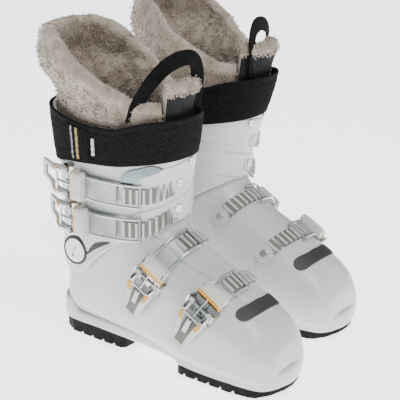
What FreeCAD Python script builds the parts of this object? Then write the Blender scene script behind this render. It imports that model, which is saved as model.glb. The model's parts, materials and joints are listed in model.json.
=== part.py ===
import FreeCAD, Part

import math
import os

from FreeCAD import Placement, Rotation, Vector

# A pair of alpine ski boots. Millimetres, +Z up, toes towards -Y, the wearer's right boot on -X.
# Each boot is laid out in its own terms: "ahead" is the distance forward from the heel line,
# "out" the distance towards the outer side of the foot, and "up" the height above the floor.
# The right boot is modelled, and the left boot is its mirror image, set back a little.

doc = FreeCAD.newDocument("ski_boots")

# ---------------------------------------------------------------- driving dimensions

SIZES = [
    ("spacing", 141.0, "centre line to centre line of the two boots"),
    ("setback", 29.0, "how far the left boot stands behind the right one"),
    ("heel_line", 123.7, "Y of the right boot's heel line"),
    ("shell_wall", 5.0, "moulded wall of the lower shell"),
    ("cuff_wall", 4.5, "moulded wall of the cuff"),
    ("strap_thick", 3.6, "power strap webbing"),
    ("liner_gap", 0.5, "play between liner and plastic"),
    ("liner_thick", 9.0, "foam wall of the liner's foot"),
    ("collar_thick", 15.0, "padded wall of the liner's collar"),
    ("lip_top", 27.0, "top of the toe lip"),
    ("lip_bottom", 9.0, "underside of the toe lip"),
    ("ledge_top", 38.0, "top of the heel ledge"),
    ("arch_level", 13.5, "underside of the shell behind the forefoot"),
    ("lug_depth", 3.5, "tread groove depth"),
    ("lug_pitch", 15.0, "tread groove spacing"),
    ("board_top", 27.0, "top of the boot board"),
    ("bed_base", 34.5, "underside of the foot bed"),
    ("bed_thick", 3.5, "foot bed thickness"),
    ("pivot_ahead", 50.0, "ankle pivot, forward of the heel line"),
    ("pivot_up", 105.5, "ankle pivot height"),
    ("pivot_head", 13.2, "radius of the ankle pivot's head"),
    ("pivot_shank", 6.0, "radius of the ankle pivot's shank"),
    ("run_play", 0.06, "radial play of a pin in its hole"),
    ("lever_length", 50.0, "buckle lever, hinge to tip"),
    ("lever_half", 15.0, "half width of the lever at its hinge"),
    ("lever_tip_half", 10.0, "half width of the lever at its tip"),
    ("lever_slot", 7.0, "half width of the fork's slot"),
    ("hinge_pin", 1.5, "radius of a lever's hinge pin"),
    ("hinge_lift", 7.4, "hinge pin above the plastic"),
    ("stem_rise", 7.4, "bail pin above the hinge pin"),
    ("stem_back", 9.0, "bail pin behind the hinge pin"),
    ("stem", 1.3, "radius of the bail's threaded stem"),
    ("wire", 1.4, "radius of the bail wire"),
    ("wire_half", 11.0, "half distance between the two bail wires"),
    ("wire_lift", 5.6, "bail wire above the plastic"),
    ("rack_half", 8.6, "half width of a rack"),
    ("rack_base", 3.2, "rack thickness between its teeth"),
    ("tooth_tall", 2.0, "rack tooth above the rack's base"),
    ("tooth_step", 6.0, "rack tooth spacing"),
    ("tooth_wide", 2.0, "rack tooth width along the rack"),
    ("base_plate", 1.4, "thickness of a buckle's base plate"),
    ("rivet_head", 4.4, "radius of a rivet head"),
    ("rivet_shank", 2.2, "radius of a rivet shank"),
]

sheet = doc.addObject("Spreadsheet::Sheet", "sizes")
for row, (alias, value, words) in enumerate(SIZES, start=1):
    sheet.set("A%d" % row, words)
    sheet.set("B%d" % row, str(value))
    sheet.setAlias("B%d" % row, alias)
doc.recompute()


def size(alias):
    return float(sheet.get(alias))


def place(ahead, out, up):
    """A point of the right boot in the model's frame."""
    return Vector(-size("spacing") / 2 - out, size("heel_line") - ahead, up)


# ---------------------------------------------------------------- helpers

right_pieces = []


def keep(obj, label):
    """Give a sub-part of the right boot its name."""
    obj.Label = "right_" + label
    right_pieces.append((obj, label))
    return obj


def feature(label, shape):
    obj = doc.addObject("Part::Feature", "right_" + label)
    obj.Shape = shape
    obj.Placement = Placement()
    return keep(obj, label)


def tidy(shape):
    """One solid, or a compound where the pieces are apart."""
    if len(shape.Solids) == 1:
        return shape.Solids[0]
    return Part.makeCompound(shape.Solids)


def power(value, exponent):
    return math.copysign(abs(value) ** exponent, value)


def section_points(station, points=28):
    """Points of a closed rounded outline across the boot, the last one on the first."""
    front = Vector(0, station["front"][0], station["front"][1])
    back = Vector(0, station["back"][0], station["back"][1])
    along = back - front
    middle = station["widest"]
    outline = []
    for step in range(points):
        angle = 2 * math.pi * step / points
        cosine = math.cos(angle)
        sine = math.sin(angle)
        rear = cosine > 0
        reach = (1 - middle) if rear else middle
        square = station["square_back"] if rear else station["square_front"]
        depth = middle + reach * power(cosine, 2 / square)
        wide = station["outer"] if sine > 0 else station["inner"]
        spot = front + along * depth
        outline.append(place(spot.y, station["lean"] + wide * power(sine, 2 / square), spot.z))
    return outline + outline[:1]


def loft(stations):
    """A solid through a run of outlines, closed by a flat face at each end."""
    rows = [section_points(item) for item in stations]
    surface = Part.BSplineSurface()
    surface.interpolate(rows)
    skin = surface.toShape()
    caps = []
    for knot in (surface.bounds()[0], surface.bounds()[1]):
        caps.append(Part.Face(Part.Wire(surface.uIso(knot).toShape())))
    shell = Part.Shell([skin] + caps)
    shell.sewShape()
    solid = Part.Solid(shell)
    if solid.Volume < 0:
        solid.reverse()
    return solid


def station(front, back, outer, inner, widest=0.5, lean=0.0, square_front=2.2, square_back=2.2):
    return {"front": front, "back": back, "outer": outer, "inner": inner, "widest": widest,
            "lean": lean, "square_front": square_front, "square_back": square_back}


def shrunk(source, front, back, sides, shift=0.0):
    """The same section with its front, back and sides moved inwards, and moved back by shift."""
    run = math.dist(source["front"], source["back"])
    unit = [(source["back"][axis] - source["front"][axis]) / run for axis in (0, 1)]
    smaller = dict(source)
    smaller["front"] = (source["front"][0] + unit[0] * front - shift, source["front"][1] + unit[1] * front)
    smaller["back"] = (source["back"][0] - unit[0] * back - shift, source["back"][1] - unit[1] * back)
    smaller["outer"] = source["outer"] - sides
    smaller["inner"] = source["inner"] - sides
    return smaller


def side_slab(outline, low=-120.0, high=120.0):
    """A side-view outline of (ahead, up) points, smooth between them, carried across the boot."""
    curve = Part.BSplineCurve()
    curve.interpolate([place(ahead, low, up) for ahead, up in outline[0]])
    edges = [curve.toShape()]
    corners = [curve.EndPoint] + [place(ahead, low, up) for ahead, up in outline[1]] + [curve.StartPoint]
    for start, end in zip(corners, corners[1:]):
        edges.append(Part.makeLine(start, end))
    face = Part.Face(Part.Wire(edges))
    return face.extrude(Vector(low - high, 0, 0))


def plan_slab(outline, low, high):
    """A plan-view outline of (ahead, out) points, smooth all round, between two heights."""
    curve = Part.BSplineCurve()
    curve.interpolate([place(ahead, out, low) for ahead, out in outline], PeriodicFlag=True)
    return Part.Face(Part.Wire(curve.toShape())).extrude(Vector(0, 0, high - low))


def side_patch(outline, low, high):
    """A smooth closed side-view outline of (ahead, up) points, carried from low to high outwards."""
    curve = Part.BSplineCurve()
    curve.interpolate([place(ahead, low, up) for ahead, up in outline], PeriodicFlag=True)
    return Part.Face(Part.Wire(curve.toShape())).extrude(Vector(low - high, 0, 0))


def block(ahead, out, up):
    """A box from three (low, high) pairs."""
    low = place(ahead[1], out[1], up[0])
    return Part.makeBox(out[1] - out[0], ahead[1] - ahead[0], up[1] - up[0], low)


# ---------------------------------------------------------------- lower shell

# Sections from the toe to the ankle. They stand upright over the forefoot and turn about the
# front of the ankle until the last one lies across the leg.
SHELL = [
    station((281.0, 33), (281.0, 14), 15, 14, 0.55, 0, 2.2, 2.4),
    station((280.0, 42), (280.0, 11.5), 25, 23, 0.60, 0, 2.3, 2.8),
    station((276.5, 53), (276.5, 10.4), 33, 30, 0.64, 0, 2.4, 3.4),
    station((268.0, 66), (268.0, 10.0), 40, 37, 0.64, 0, 2.4, 3.8),
    station((254.0, 77), (254.0, 9.8), 44, 41, 0.64, 0, 2.4, 4.0),
    station((232.0, 89), (230.0, 9.8), 47, 44, 0.62, 0, 2.4, 4.0),
    station((205.0, 102), (198.0, 9.8), 48, 46, 0.60, 0, 2.4, 4.0),
    station((180.0, 114), (166.0, 11.0), 46, 45, 0.56, 0, 2.3, 3.8),
    station((160.0, 127), (132.0, 13.8), 43, 43, 0.50, 0, 2.2, 3.4),
    station((146.5, 139), (98.0, 14.2), 42, 42, 0.45, 0, 2.2, 3.0),
    station((140.5, 149), (60.0, 14.2), 42, 42, 0.40, 0, 2.2, 2.7),
    station((139.0, 156), (28.0, 14.4), 42, 42, 0.38, 0, 2.2, 2.5),
    station((138.5, 161), (9.0, 22.0), 42, 42, 0.38, 0, 2.2, 2.4),
    station((138.5, 165), (5.0, 45.0), 42, 42, 0.40, 0, 2.2, 2.3),
    station((138.5, 168), (9.5, 78.0), 42.5, 42.5, 0.44, 0, 2.2, 2.2),
    station((138.5, 170), (17.0, 104.0), 43, 43, 0.48, 0, 2.2, 2.2),
    station((139.0, 172), (19.0, 124.0), 43.5, 43.5, 0.50, 0.5, 2.2, 2.2),
]
SHELL_MOUTH = station((141.0, 184), (21.0, 150.0), 44, 44, 0.50, 1.0)
TOE_STATIONS = 7
HEEL_STATIONS = 12


def shell_inset(side, bottom):
    """The shell's sections moved inwards, carried on past the ankle so that the top is open."""
    stations = []
    for count, source in enumerate(SHELL[2:], start=2):
        low = bottom if count < HEEL_STATIONS else side
        back = side if count < TOE_STATIONS else 0.0
        stations.append(shrunk(source, side, low, side, back))
    mouth = shrunk(SHELL_MOUTH, side, side, side)
    return stations + [mouth]


shell_body = loft(SHELL)
LIP = [(284, 8), (284, -6), (279, -24), (268, -34), (235, -38.5), (190, -38), (150, -33), (110, -29),
       (60, -29), (20, -27), (4, -18), (-1.5, 0), (4, 18), (20, 28), (60, 30), (110, 32), (150, 36),
       (190, 40.5), (235, 41), (268, 37), (279, 26)]
plate = plan_slab(LIP, size("lip_bottom"), size("lip_top"))
plate = plate.cut(block((-20, 168), (-60, 60), (0, size("arch_level"))))
ledge = plan_slab(LIP, size("arch_level"), size("ledge_top"))
ledge = ledge.common(block((-20, 24), (-60, 60), (0, 60)))
cavity = loft(shell_inset(size("shell_wall"), 8.0))
plate_rim = plate.fuse(ledge).cut(shell_body)
shell_shape = shell_body.cut(cavity).fuse(plate_rim)
pivot_spot = place(size("pivot_ahead"), 0, size("pivot_up"))
across = Vector(-1, 0, 0)
pivot_hole = Part.makeCylinder(size("pivot_shank") + size("run_play"), 160,
                               pivot_spot - across * 80, across)

# ---------------------------------------------------------------- cuff

CUFF = [
    station((150.0, 100), (4.0, 72.0), 49.0, 49.0, 0.5, 0.0, 2.3, 2.2),
    station((148.5, 126), (4.2, 100.0), 50.5, 50.5, 0.5, 0.0, 2.3, 2.2),
    station((147.5, 150), (5.5, 128.0), 51.0, 51.0, 0.5, 0.0, 2.3, 2.2),
    station((150.0, 172), (6.0, 154.0), 50.0, 50.0, 0.5, 2.0, 2.3, 2.2),
    station((154.5, 196), (7.0, 182.0), 49.5, 49.5, 0.5, 5.0, 2.3, 2.2),
    station((161.0, 222), (7.0, 212.0), 50.0, 50.0, 0.5, 8.5, 2.3, 2.2),
    station((168.0, 250), (6.0, 248.0), 51.0, 51.0, 0.5, 12.5, 2.3, 2.2),
    station((172.0, 272), (5.0, 274.0), 52.0, 52.0, 0.5, 15.0, 2.3, 2.2),
]
CUFF_LOWER_EDGE = [(-25, 82), (15, 82), (40, 79), (60, 87), (79, 107), (100, 123), (125, 137), (150, 150),
                   (175, 164)]
CUFF_UPPER_EDGE = [(-25, 256), (10, 252), (45, 240), (90, 231), (130, 232), (185, 240)]


def offset_all(stations, amount):
    return [shrunk(source, amount, amount, amount) for source in stations]


cuff_outer = loft(CUFF)
cuff_inner = loft(offset_all(CUFF, size("cuff_wall")))
below_cuff = side_slab((CUFF_LOWER_EDGE, [(200, 20), (-60, 20)]))
above_cuff = side_slab((CUFF_UPPER_EDGE, [(220, 300), (-60, 300)]))
cuff_tube = cuff_outer.cut(cuff_inner)
cuff_shape = cuff_tube.cut([below_cuff, above_cuff, pivot_hole])

# The lens-shaped insert lies flush in a pocket beside the lower edge, on the outer side.
INSERT_LENS = [(66.5, 104.5), (77, 112.5), (88, 119), (97, 124.5), (83, 122), (70.5, 117), (65.5, 109.5)]
lens_block = side_patch(INSERT_LENS, 30, 70)
insert_floor = loft(offset_all(CUFF, 2.0))
insert_shape = lens_block.common(cuff_outer.cut(insert_floor))
cuff_shape = cuff_shape.cut(insert_shape)
feature("cuff_insert", tidy(insert_shape))

# ---------------------------------------------------------------- soles


def sketch_on(body, role, name):
    sketch = body.newObject("Sketcher::SketchObject", name)
    plane = [item for item in body.Origin.OriginFeatures if item.Role == role][0]
    sketch.AttachmentSupport = [(plane, "")]
    sketch.MapMode = "FlatFace"
    return sketch


def closed_outline(sketch, points):
    for start, end in zip(points, points[1:] + points[:1]):
        sketch.addGeometry(Part.LineSegment(Vector(start[0], start[1], 0), Vector(end[0], end[1], 0)), False)


def sole(label, outline, top_alias, grooves, toe_spring):
    """A rubber sole: its plan outline padded up to the shell, with cross grooves cut from below."""
    body = doc.addObject("PartDesign::Body", label + "_block")
    plan = sketch_on(body, "XY_Plane", label + "_plan")
    corners = [place(ahead, out, 0) for ahead, out in outline]
    closed_outline(plan, [(corner.x, corner.y) for corner in corners])
    pad = body.newObject("PartDesign::Pad", label + "_pad")
    pad.Profile = plan
    pad.setExpression("Length", "<<sizes>>.%s - 0.05" % top_alias)
    doc.recompute()
    before = pad.Shape.Volume
    profile = sketch_on(body, "YZ_Plane", label + "_tread")
    depth = size("lug_depth")
    for ahead in grooves:
        centre = place(ahead, 0, 0).y
        closed_outline(profile, [(centre - 2.6, -1), (centre + 2.6, -1), (centre + 1.4, depth),
                                 (centre - 1.4, depth)])
    if toe_spring:
        front = place(toe_spring[0], 0, 0).y
        back = place(toe_spring[1], 0, 0).y
        closed_outline(profile, [(front, -1), (back, -1), (back, 0), (front, toe_spring[2])])
    pocket = body.newObject("PartDesign::Pocket", label + "_grooves")
    pocket.Profile = profile
    pocket.Type = "ThroughAll"
    pocket.Midplane = True
    doc.recompute()
    if pocket.Shape.Volume > before - 1:
        raise RuntimeError("the tread of the " + label + " sole cut nothing")
    body.Tip = pocket
    return body


TOE_SOLE = [(172, -35), (178, -37), (235, -37.5), (266, -33), (276, -23), (281, -6), (281, 8), (276, 25),
            (266, 36), (235, 40), (178, 39), (172, 37)]
HEEL_SOLE = [(94, -24), (90, -28), (60, -28), (22, -26), (7, -18), (1, 0), (7, 18), (22, 27), (60, 29),
             (90, 29), (94, 25)]
pitch = size("lug_pitch")

SCREWS = [(188, -20), (188, 22), (257.5, -18), (257.5, 20), (27.5, 0), (72.5, -16), (72.5, 17)]


def screw(ahead, out, room):
    """A countersunk screw, up through the sole into the shell, or the hole for it with room to spare."""
    upwards = Vector(0, 0, 1)
    base = place(ahead, out, size("lug_depth") + 0.6)
    head = Part.makeCone(3.6 + room, 1.8 + room, 2.4, base, upwards)
    shank = Part.makeCylinder(1.8 + room, 9.5 + room, base, upwards)
    if room:
        well = Part.makeCylinder(3.6 + room, 6.0, base - upwards * 6.0, upwards)
        return head.fuse([shank, well])
    socket = Part.makeBox(1.2, 4.4, 1.0, base - Vector(0.6, 2.2, 0))
    return head.fuse(shank).cut(socket)


feature("sole_screws", Part.makeCompound([tidy(screw(ahead, out, 0.0)) for ahead, out in SCREWS]))
screw_holes = doc.addObject("Part::Feature", "screw_holes")
screw_holes.Shape = Part.makeCompound([tidy(screw(ahead, out, 0.05)) for ahead, out in SCREWS])


def drilled(body, label):
    """A sole with its screw holes."""
    cut = doc.addObject("Part::Cut", "right_" + label)
    cut.Base = body
    cut.Tool = screw_holes
    doc.recompute()
    return keep(cut, label)


drilled(sole("toe", TOE_SOLE, "lip_bottom", [181 + pitch * count for count in range(5)],
             (290.0, 258.0, 5.2)), "toe_sole")
drilled(sole("heel", HEEL_SOLE, "arch_level", [20 + pitch * count for count in range(5)], None), "heel_sole")

# ---------------------------------------------------------------- inside the lower shell

play = size("liner_gap")
board_room = loft(shell_inset(size("shell_wall") + play, 8.0 + 0.1))
board_slab = block((6, 262), (-60, 60), (10, size("board_top")))
feature("boot_board", tidy(board_room.common(board_slab)))

above_liner = side_slab(([(-20, 112), (40, 122), (100, 142), (150, 158), (190, 170)],
                         [(230, 300), (-60, 300)]))
liner_outer = loft(shell_inset(size("shell_wall") + 2 * play, 8.4))
liner_room = loft(shell_inset(size("shell_wall") + 2 * play + size("liner_thick"), 15.0))
liner_base = block((-20, 290), (-60, 60), (0, size("board_top") + 0.3))
room_base = block((-20, 290), (-60, 60), (0, size("bed_base") - 0.4))
liner_foot = liner_outer.cut([liner_base, above_liner]).cut(liner_room.cut(room_base))
feature("liner_foot", tidy(liner_foot))
bed_room = loft(shell_inset(size("shell_wall") + 3 * play + size("liner_thick"), 15.3))
bed_slab = block((14, 252), (-60, 60), (size("bed_base"), size("bed_base") + size("bed_thick")))
feature("footbed", tidy(bed_room.common(bed_slab)))

# ---------------------------------------------------------------- liner above the ankle, on the cuff

COLLAR_FLARE = [
    station((173.5, 294), (-2.5, 292.0), 56.5, 55.5, 0.5, 15.8, 2.3, 2.2),
    station((176.0, 315), (-4.0, 312.0), 57.0, 56.0, 0.5, 17.0, 2.3, 2.2),
    station((178.0, 342), (2.0, 338.0), 53.0, 52.0, 0.5, 18.0, 2.3, 2.2),
]
inside_cuff = offset_all(CUFF, size("cuff_wall") + 2 * play)
collar_outer = loft(inside_cuff + COLLAR_FLARE)
collar_stations = inside_cuff + [shrunk(item, 3.0, 3.0, 3.0) for item in COLLAR_FLARE]
collar_room = loft(offset_all(collar_stations, size("collar_thick")))
below_collar = side_slab(([(-40, 189), (60, 190), (190, 193)], [(230, 20), (-60, 20)]))
above_collar = side_slab(([(-40, 322), (-6, 331), (18, 334), (45, 325), (75, 302), (100, 283), (130, 272),
                           (190, 266)], [(240, 400), (-60, 400)]))
above_tongue = side_slab(([(-40, 300), (60, 298), (120, 296), (160, 290), (200, 286)],
                          [(240, 400), (-60, 400)]))
tongue_gap = block((112, 260), (-23, 49), (150, 400))
tongue_block = block((112.6, 260), (-22.4, 48.4), (150, 400))
collar_shape = collar_outer.cut([below_collar, above_collar]).cut(collar_room).cut(tongue_gap)
feature("liner_collar", tidy(collar_shape))
tongue_shape = collar_outer.cut([below_collar, above_tongue]).cut(collar_room).common(tongue_block)
feature("liner_tongue", tidy(tongue_shape))

# ---------------------------------------------------------------- power strap

strap_inner = loft(offset_all(CUFF, -0.3))
strap_outer = loft(offset_all(CUFF, -0.3 - size("strap_thick")))
below_strap = side_slab(([(-40, 189), (30, 197), (50, 202.5), (80, 205.5), (114, 208), (140, 212), (190, 218)],
                         [(230, 20), (-60, 20)]))
above_strap = side_slab(([(-40, 255), (30, 253), (75, 247), (115, 247), (150, 258), (190, 262)],
                         [(230, 400), (-60, 400)]))
feature("power_strap", tidy(strap_outer.cut(strap_inner).cut([below_strap, above_strap])))

# ---------------------------------------------------------------- pull loop on the tongue

LOOP_RADIUS = 27.0
LOOP_HALF = 8.0
LOOP_THICK = 2.4
loop_band = Part.makeCylinder(LOOP_RADIUS + LOOP_THICK / 2, 2 * LOOP_HALF, Vector(0, -LOOP_HALF, 0), Vector(0, 1, 0))
loop_hole = Part.makeCylinder(LOOP_RADIUS - LOOP_THICK / 2, 2 * LOOP_HALF, Vector(0, -LOOP_HALF, 0), Vector(0, 1, 0))
loop_ring = loop_band.cut(loop_hole).common(Part.makeBox(80, 40, 60, Vector(-40, -20, 0)))


def loop_leg(middle, drop):
    """A straight end of the loop, down to the tongue."""
    return Part.makeBox(LOOP_THICK, 2 * LOOP_HALF, drop, Vector(middle - LOOP_THICK / 2, -LOOP_HALF, -drop))


loop_shape = loop_ring.fuse([loop_leg(LOOP_RADIUS, 12), loop_leg(-LOOP_RADIUS, 24)])
loop_turn = Rotation(Vector(0, 0, 1), -35.5) * Rotation(Vector(0, 1, 0), 18)
loop_shape.Placement = Placement(place(157, 27, 284), loop_turn)
loop_seat = loft(offset_all(inside_cuff + COLLAR_FLARE, -0.2))
feature("pull_loop", tidy(loop_shape.cut(loop_seat)))

# ---------------------------------------------------------------- ankle pivots and toe insert


def unit(vector):
    copy = Vector(vector)
    return copy.normalize()


def skin_point(solid, centre, direction):
    """Where a ray from inside leaves a solid."""
    ray = Part.makeLine(centre, centre + direction * 160)
    spots = [vertex.Point for vertex in ray.common(solid).Vertexes]
    return max(spots, key=lambda spot: spot.distanceToPoint(centre))


def rounded_head(radius, height, base, outwards, rounding):
    """A round head whose outer rim is rounded."""
    head = Part.makeCylinder(radius, height, base, outwards)
    rim = max(head.Edges, key=lambda edge: edge.CenterOfMass.dot(outwards))
    return head.makeFillet(rounding, [rim])


def ankle_pivot(side):
    """A shank through cuff and shell with a broad slotted head outside, on one side of the boot."""
    outwards = across * side
    rim = skin_point(cuff_outer, pivot_spot, outwards)
    head = rounded_head(size("pivot_head"), 5.6, rim - outwards * 2.2, outwards, 1.2)
    slot = Part.makeBox(2.4, 2.6, 15, Vector(-1.2, -1.3, -7.5))
    slot.Placement = Placement(rim + outwards * 3.4, Rotation(Vector(1, 0, 0), 24))
    shank = Part.makeCylinder(size("pivot_shank"), 11.5, rim - outwards * 11.5, outwards)
    return head.cut([cuff_outer, slot]).fuse(shank)


feature("cuff_pivots", Part.makeCompound([tidy(ankle_pivot(side)) for side in (1, -1)]))

TOE_LENS = [(238.5, -31), (243, -31), (247, -29), (251.5, -19), (253, 0), (251.5, 19), (247, 29), (243, 31),
            (238.5, 31), (239.5, 16), (240.5, 0), (239.5, -16)]
toe_lens = plan_slab(TOE_LENS, 45, 110)
toe_outer = loft([shrunk(item, -1.2, -1.2, -1.2) for item in SHELL[2:]])
feature("toe_insert", tidy(toe_lens.common(toe_outer).cut(shell_body)))

# ---------------------------------------------------------------- buckles


class Line:
    """The plane that a buckle works in, across the boot. Turns are degrees about a point inside the
    boot, from the hook on the rack towards the lever."""

    def __init__(self, skin, centre, hook, yoke):
        self.skin = skin
        self.centre = place(*centre)
        self.zero = unit(place(*hook) - self.centre)
        yoke_way = unit(place(*yoke) - self.centre)
        self.across = unit(self.zero.cross(yoke_way))
        self.quarter = self.across.cross(self.zero)
        self.yoke_turn = math.degrees(math.acos(self.zero.dot(yoke_way)))

    def over(self, turn, lift):
        """A point above the plastic."""
        direction = self.zero * math.cos(math.radians(turn)) + self.quarter * math.sin(math.radians(turn))
        return skin_point(self.skin, self.centre, direction) + direction * lift

    def turn_beyond(self, turn, start, distance, lift):
        """Counting up from a turn, the first one whose lifted point is a distance from another point."""
        while self.over(turn, lift).distanceToPoint(start) < distance:
            turn += 0.5
        return turn


class Bend:
    """The circle that fits the plastic between two turns of a line."""

    def __init__(self, line, start, end):
        first, middle, last = [line.over(turn, 0.0) for turn in (start, (start + end) / 2, end)]
        circle = Part.Arc(first, middle, last).toShape().Curve
        self.axis = line.across
        self.centre = circle.Center
        self.radius = circle.Radius
        self.first = unit(first - self.centre)
        reach = unit(last - self.centre)
        swing = math.atan2(self.axis.dot(self.first.cross(reach)), self.first.dot(reach))
        self.sign = math.copysign(1.0, swing)
        self.length = abs(swing) * self.radius

    def degrees(self, distance):
        return self.sign * math.degrees(distance / self.radius)

    def way(self, distance):
        """Outward direction at a distance along the circle."""
        return Rotation(self.axis, self.degrees(distance)).multVec(self.first)

    def spot(self, distance, lift, offset=0.0):
        return self.centre + self.way(distance) * (self.radius + lift) + self.axis * offset

    def bar(self, start, run, low, high, left, right):
        """A curved bar: its run along the circle, its lift above it and its offsets across it."""
        corners = [self.spot(start, lift, offset)
                   for lift, offset in ((low, left), (high, left), (high, right), (low, right))]
        face = Part.Face(Part.makePolygon(corners + corners[:1]))
        return face.revolve(self.centre, self.axis, self.degrees(run))

    def wire(self, start, run, lift, offset, radius):
        """A curved round wire along the circle."""
        way = self.way(start)
        ring = Part.Circle(self.spot(start, lift, offset), way.cross(self.axis), radius)
        face = Part.Face(Part.Wire(ring.toShape()))
        return face.revolve(self.centre, self.axis, self.degrees(run))


def rod(start, end, radius):
    way = end - start
    return Part.makeCylinder(radius, way.Length, start, way)


def box_in(frame, along, sideways, outwards):
    """A box from (low, high) pairs in a buckle's own frame."""
    low = Vector(along[0], sideways[0], outwards[0])
    shape = Part.makeBox(along[1] - along[0], sideways[1] - sideways[0], outwards[1] - outwards[0], low)
    shape.Placement = frame
    return shape


def rivet(seat, outwards, depth):
    """A rivet: a rounded head on a seat, and a shank down into the plastic."""
    head = rounded_head(size("rivet_head"), 1.7, seat, outwards, 0.9)
    dimple = Part.makeCylinder(1.7, 1.0, seat + outwards * 0.9, outwards)
    shank = Part.makeCylinder(size("rivet_shank"), depth, seat - outwards * depth, outwards)
    return head.cut(dimple).fuse(shank)


def rivet_hole(seat, outwards, depth):
    return Part.makeCylinder(size("rivet_shank"), depth + 4, seat - outwards * depth, outwards)


HOOKED_TEETH = 3


def rack(line, count, skew):
    """A rack riveted at its far end: stepped bars that sit flush on the plastic, each with a tooth.
    The hook lies midway between two teeth, and the bars step sideways beyond it."""
    step = size("tooth_step")
    half = size("rack_half")
    base = size("rack_base")
    before_hook = HOOKED_TEETH * step - (step - size("tooth_wide")) / 2
    start = line.turn_beyond(0.0, line.over(0.0, 0.0), before_hook, 0.0)
    bend = Bend(line, start, start - math.degrees(count * step / 55.0))
    parts = []
    for number in range(count):
        left = skew * max(0, number - HOOKED_TEETH) - half
        parts.append(bend.bar(number * step, step * 1.02, -6.0, base, left, left + 2 * half))
        if number < count - 1:
            parts.append(bend.bar(number * step, size("tooth_wide"), base - 1.0, base + size("tooth_tall"),
                                  left + 1.2, left + 2 * half - 1.2))
    end = bend.spot(count * step, 0.0, skew * (count - HOOKED_TEETH))
    outwards = bend.way(count * step)
    parts.append(Part.makeCylinder(half, base + 6.0, end - outwards * 6.0, outwards))
    seat = end + outwards * base
    shape = parts[0].fuse(parts[1:]).cut(line.skin)
    return tidy(shape.cut(rivet_hole(seat, outwards, 12.0))), (seat, outwards)


def lever(number, frame, tip_shift):
    """A forked lever with a window, hinged at its own origin, its tip towards -X."""
    label = "lever_%d" % number
    body = doc.addObject("PartDesign::Body", "right_" + label)
    long = size("lever_length")
    half = size("lever_half")
    tip = size("lever_tip_half")
    side = sketch_on(body, "XZ_Plane", label + "_side")
    closed_outline(side, [(2.6, -2.5), (4.2, -0.8), (4.2, 2.8), (1.2, 6.4), (-5, 9.4), (-12.5, 9.4), (-22, 6.6),
                          (-long, 3.4), (-long, 0.6), (-26, 1.4), (-13, -0.6)])
    pad = body.newObject("PartDesign::Pad", label + "_pad")
    pad.Profile = side
    pad.Midplane = True
    pad.setExpression("Length", "<<sizes>>.lever_half * 2 + %s" % (2 * abs(tip_shift)))
    plan = sketch_on(body, "XY_Plane", label + "_plan")
    for way in (1, -1):
        closed_outline(plan, [(8, way * (half + 20)), (8, way * half), (-13, way * half),
                              (-long - 3, way * tip + tip_shift), (-long - 3, way * (half + 20))])
    slot = size("lever_slot")
    closed_outline(plan, [(8, slot), (8, -slot), (-15.5, -slot), (-15.5, slot)])
    closed_outline(plan, [(-19, 7), (-19, -7), (-long + 9, tip_shift * 0.75 - 3.5),
                          (-long + 9, tip_shift * 0.75 + 3.5)])
    window = body.newObject("PartDesign::Pocket", label + "_window")
    window.Profile = plan
    window.Type = "ThroughAll"
    window.Midplane = True
    pins = sketch_on(body, "XZ_Plane", label + "_pins")
    reach = size("hinge_pin") + size("run_play")
    pins.addGeometry(Part.Circle(Vector(0, 0, 0), Vector(0, 0, 1), reach), False)
    pins.addGeometry(Part.Circle(Vector(-size("stem_back"), size("stem_rise"), 0), Vector(0, 0, 1), reach),
                     False)
    holes = body.newObject("PartDesign::Pocket", label + "_holes")
    holes.Profile = pins
    holes.Type = "ThroughAll"
    holes.Midplane = True
    doc.recompute()
    corners = [index for index, edge in enumerate(holes.Shape.Edges, start=1)
               if edge.BoundBox.XMax < -long + 0.5 and edge.BoundBox.YLength < 0.6]
    rounding = body.newObject("PartDesign::Fillet", label + "_tip")
    rounding.Base = (holes, ["Edge%d" % index for index in corners])
    rounding.Radius = 4.0
    body.Tip = rounding
    body.Placement = frame
    doc.recompute()
    return keep(body, label)


def bail(line, frame, webbed):
    """The bail: a threaded stem on its own pin, a yoke, two wires to a hook bar. A bail on the cuff
    also has a web between its wires."""
    pin_spot = frame.multVec(Vector(-size("stem_back"), 0, size("stem_rise")))
    pin_half = size("lever_half") - 1.0
    pin = rod(pin_spot - line.across * pin_half, pin_spot + line.across * pin_half, size("hinge_pin"))
    bend = Bend(line, line.yoke_turn, 0.0)
    yoke_half = size("wire_half") + 2.6
    yoke = bend.bar(-5.5, 11.5, 3.6, 13.0, -yoke_half, yoke_half)
    stem = rod(pin_spot, bend.spot(-3.0, 11.6), size("stem"))
    lift = size("wire_lift")
    hooks = [bend.wire(4.0, bend.length - 4.0, lift, side * size("wire_half"), size("wire"))
             for side in (1, -1)]
    bar_reach = size("wire_half") + size("wire")
    hook_bar = rod(bend.spot(bend.length, lift, -bar_reach), bend.spot(bend.length, lift, bar_reach),
                   size("wire"))
    shape = pin.fuse([stem, yoke, hook_bar] + hooks)
    if webbed:
        web_half = size("wire_half") - 1.0
        web_run = bend.length - 5.0 - HOOKED_TEETH * size("tooth_step")
        shape = shape.fuse(bend.bar(4.0, web_run - 4.0, lift - 1.6, lift + 0.4, -web_half, web_half))
    return tidy(shape)


def base(line, hinge_turn, frame):
    """The riveted base under a lever, with two ears and the hinge pin between them."""
    bend = Bend(line, hinge_turn + 12, hinge_turn - 12)
    middle = bend.length / 2
    half = size("lever_half") + 2.6
    plate = bend.bar(middle - 8.0, 16.0, -4.0, size("base_plate"), -half, half)
    ears = [box_in(frame, (-4.2, 4.2), sorted((side * half, side * (half - 2.0))),
                   (-size("hinge_lift") - 4.0, 3.0)) for side in (1, -1)]
    pin = rod(frame.multVec(Vector(0, -half, 0)), frame.multVec(Vector(0, half, 0)), size("hinge_pin"))
    return tidy(plate.fuse(ears).cut(line.skin).fuse(pin))


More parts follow.
